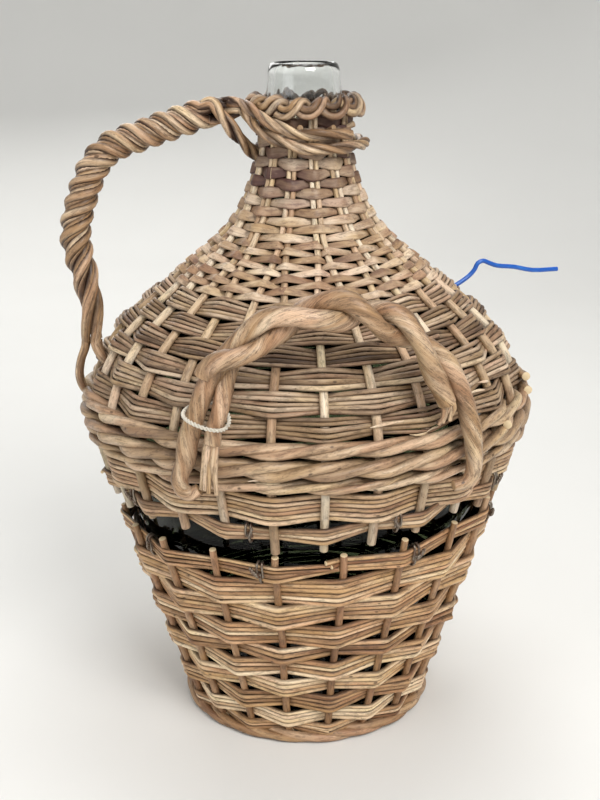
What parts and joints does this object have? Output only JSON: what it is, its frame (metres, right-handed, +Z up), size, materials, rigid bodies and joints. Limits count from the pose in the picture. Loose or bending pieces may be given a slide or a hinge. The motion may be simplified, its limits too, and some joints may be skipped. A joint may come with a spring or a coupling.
{
  "type": "wicker demijohn",
  "caption": "Glass demijohn in a two-part woven willow casing, with a lower basket, an upper cover, twisted lifting handles and a neck handle.",
  "frame": {"origin": "centre of the flat underside of the base, on the axis of the bottle", "axes": "+Z up along the axis of the bottle, -Y towards the front lifting handle, -X towards the neck handle"},
  "size_m": [0.3651, 0.3451, 0.471],
  "materials": {
    "straw_willow": "bright straw willow rods",
    "grey_willow": "weathered greyish willow rods",
    "dark_skein": "dark split willow skeins",
    "cream_willow": "pale peeled willow stakes",
    "handle_willow": "thick twisted willow rods",
    "clear_glass": "smooth clear blown glass",
    "steel_wire": "dull annealed wire",
    "white_string": "twisted white string",
    "blue_coating": "smooth plastic coating on wire"
  },
  "bodies": {
    "lower_basket": {"base_weave": "straw_willow", "base_sticks": "straw_willow", "basket_stakes": "straw_willow", "basket_row_1": "straw_willow", "basket_row_2": "straw_willow", "basket_row_3": "straw_willow", "basket_row_4": "straw_willow", "basket_row_5": "straw_willow", "basket_row_6": "straw_willow", "basket_row_7": "straw_willow", "basket_row_8": "straw_willow", "basket_row_9": "straw_willow", "basket_tie_1": "steel_wire", "basket_tie_2": "steel_wire", "basket_tie_3": "steel_wire", "basket_tie_4": "steel_wire", "basket_tie_5": "steel_wire", "basket_tie_6": "steel_wire", "basket_tie_7": "steel_wire", "basket_tie_8": "steel_wire", "basket_tie_9": "steel_wire"},
    "bottle": {"glass_bottle": "clear_glass"},
    "cover": {"cover_stakes_1": "cream_willow", "cover_stakes_2": "cream_willow", "cover_stakes_3": "cream_willow", "cover_stakes_4": "cream_willow", "edge_row_1": "grey_willow", "edge_row_2": "grey_willow", "edge_row_3": "grey_willow", "wale_rod_1": "handle_willow", "wale_rod_2": "handle_willow", "wale_rod_3": "handle_willow", "wale_rod_4": "handle_willow", "shoulder_row_1": "grey_willow", "shoulder_row_2": "grey_willow", "shoulder_row_3": "grey_willow", "shoulder_row_4": "grey_willow", "shoulder_row_5": "grey_willow", "shoulder_row_6": "grey_willow", "cone_weave": "dark_skein", "cover_tie_1": "steel_wire", "cover_tie_2": "steel_wire", "cover_tie_3": "steel_wire", "cover_tie_4": "steel_wire", "cover_tie_5": "steel_wire", "cover_tie_6": "steel_wire", "cover_tie_7": "steel_wire", "cover_tie_8": "steel_wire", "cover_tie_9": "steel_wire", "neck_handle_strand_1": "handle_willow", "neck_handle_strand_2": "handle_willow", "neck_handle_strand_3": "handle_willow", "front_handle_strand_1": "handle_willow", "front_handle_strand_2": "handle_willow", "rear_handle_strand_1": "handle_willow", "rear_handle_strand_2": "handle_willow", "string_loop": "white_string", "coated_wire": "blue_coating"}
  },
  "joints": [
    {"name": "bottle_lift", "type": "slide", "parent": "lower_basket", "child": "bottle", "axis": [0, 0, 1], "range_m": [0, 0.18]},
    {"name": "cover_lift", "type": "slide", "parent": "bottle", "child": "cover", "axis": [0, 0, 1], "range_m": [0, 0.32]}
  ]
}
